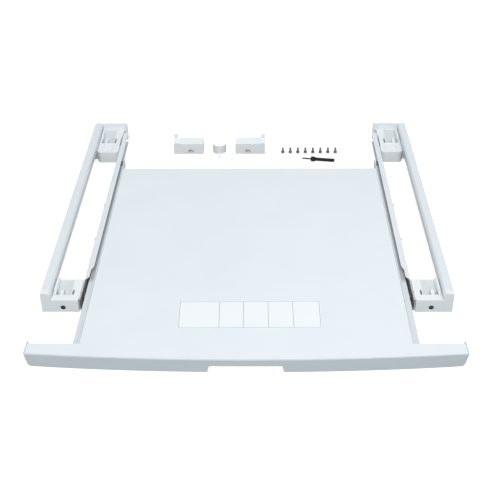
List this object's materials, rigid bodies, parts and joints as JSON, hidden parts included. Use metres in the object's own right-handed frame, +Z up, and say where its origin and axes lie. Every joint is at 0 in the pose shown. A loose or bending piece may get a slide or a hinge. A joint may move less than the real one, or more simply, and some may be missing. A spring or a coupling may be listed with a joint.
{
  "type": "washer dryer stacking kit",
  "caption": "Stacking kit between a washer and a dryer: two white side frames with foot seats, a pull-out tray on rollers and loose fixing parts.",
  "frame": {"origin": "centre of the kit's footprint on the floor, at the underside of the foot blocks, with the tray pulled out as in the picture", "axes": "+Y towards the back, away from the fascia; +Z up; +X to the right seen from the fascia"},
  "size_m": [0.5972, 0.682, 0.033],
  "materials": {
    "rail_sheet": "white coated, satin",
    "block_moulding": "white moulded, fine grain",
    "runner_steel": "white coated, satin",
    "tray_sheet": "white coated, satin",
    "fascia_moulding": "white moulded, half gloss",
    "stiffener_steel": "white coated, satin",
    "roller_nylon": "light grey nylon, smooth",
    "bracket_moulding": "white moulded, fine grain",
    "zinc_steel": "zinc plated",
    "black_handle": "black moulded",
    "dark_steel": "blackened, oiled"
  },
  "bodies": {
    "side_frames": {"outer_rail_left": "rail_sheet", "front_foot_block_left": "block_moulding", "rear_foot_block_left": "block_moulding", "frame_runner_left": "runner_steel", "front_roller_pin_left": "zinc_steel", "runner_screw_front_left": "zinc_steel", "runner_screw_rear_left": "zinc_steel", "corner_bracket_left": "bracket_moulding", "outer_rail_right": "rail_sheet", "front_foot_block_right": "block_moulding", "rear_foot_block_right": "block_moulding", "frame_runner_right": "runner_steel", "front_roller_pin_right": "zinc_steel", "runner_screw_front_right": "zinc_steel", "runner_screw_rear_right": "zinc_steel", "corner_bracket_right": "bracket_moulding", "foot_retainer": "bracket_moulding", "loose_screw_1": "zinc_steel", "loose_screw_2": "zinc_steel", "loose_screw_3": "zinc_steel", "loose_screw_4": "zinc_steel", "loose_screw_5": "zinc_steel", "loose_screw_6": "zinc_steel", "loose_screw_7": "zinc_steel", "loose_screw_8": "zinc_steel", "screwdriver_handle": "black_handle", "screwdriver_shaft": "dark_steel"},
    "tray": {"tray_panel": "tray_sheet", "tray_fascia": "fascia_moulding", "tray_stiffener_middle": "stiffener_steel", "tray_stiffener_rear": "stiffener_steel", "tray_stiffener_front": "stiffener_steel", "fascia_screw_1": "zinc_steel", "fascia_screw_2": "zinc_steel", "fascia_screw_3": "zinc_steel", "fascia_screw_4": "zinc_steel", "drawer_runner_left": "runner_steel", "rear_roller_pin_left": "zinc_steel", "drawer_screw_front_left": "zinc_steel", "drawer_screw_rear_left": "zinc_steel", "drawer_runner_right": "runner_steel", "rear_roller_pin_right": "zinc_steel", "drawer_screw_front_right": "zinc_steel", "drawer_screw_rear_right": "zinc_steel"},
    "front_roller_left": {"front_roller_left": "roller_nylon"},
    "front_roller_right": {"front_roller_right": "roller_nylon"},
    "rear_roller_left": {"rear_roller_left": "roller_nylon"},
    "rear_roller_right": {"rear_roller_right": "roller_nylon"}
  },
  "joints": [
    {"name": "tray_slide", "type": "slide", "parent": "side_frames", "child": "tray", "axis": [0, -1, 0], "range_m": [-0.092, 0.24]},
    {"name": "front_roller_left_spin", "type": "hinge", "parent": "side_frames", "child": "front_roller_left", "pos_m": [-0.2352, -0.18295, 0.0081], "axis": [1, 0, 0], "continuous": true},
    {"name": "front_roller_right_spin", "type": "hinge", "parent": "side_frames", "child": "front_roller_right", "pos_m": [0.2352, -0.18295, 0.0081], "axis": [1, 0, 0], "continuous": true},
    {"name": "rear_roller_left_spin", "type": "hinge", "parent": "tray", "child": "rear_roller_left", "pos_m": [-0.2352, 0.21355, 0.0103], "axis": [1, 0, 0], "continuous": true},
    {"name": "rear_roller_right_spin", "type": "hinge", "parent": "tray", "child": "rear_roller_right", "pos_m": [0.2352, 0.21355, 0.0103], "axis": [1, 0, 0], "continuous": true}
  ],
  "couplings": [
    {"joint": "front_roller_left_spin", "follows": "tray_slide", "rad_per_m": 178.57},
    {"joint": "front_roller_right_spin", "follows": "tray_slide", "rad_per_m": 178.57},
    {"joint": "rear_roller_left_spin", "follows": "tray_slide", "rad_per_m": 128.21},
    {"joint": "rear_roller_right_spin", "follows": "tray_slide", "rad_per_m": 128.21}
  ]
}
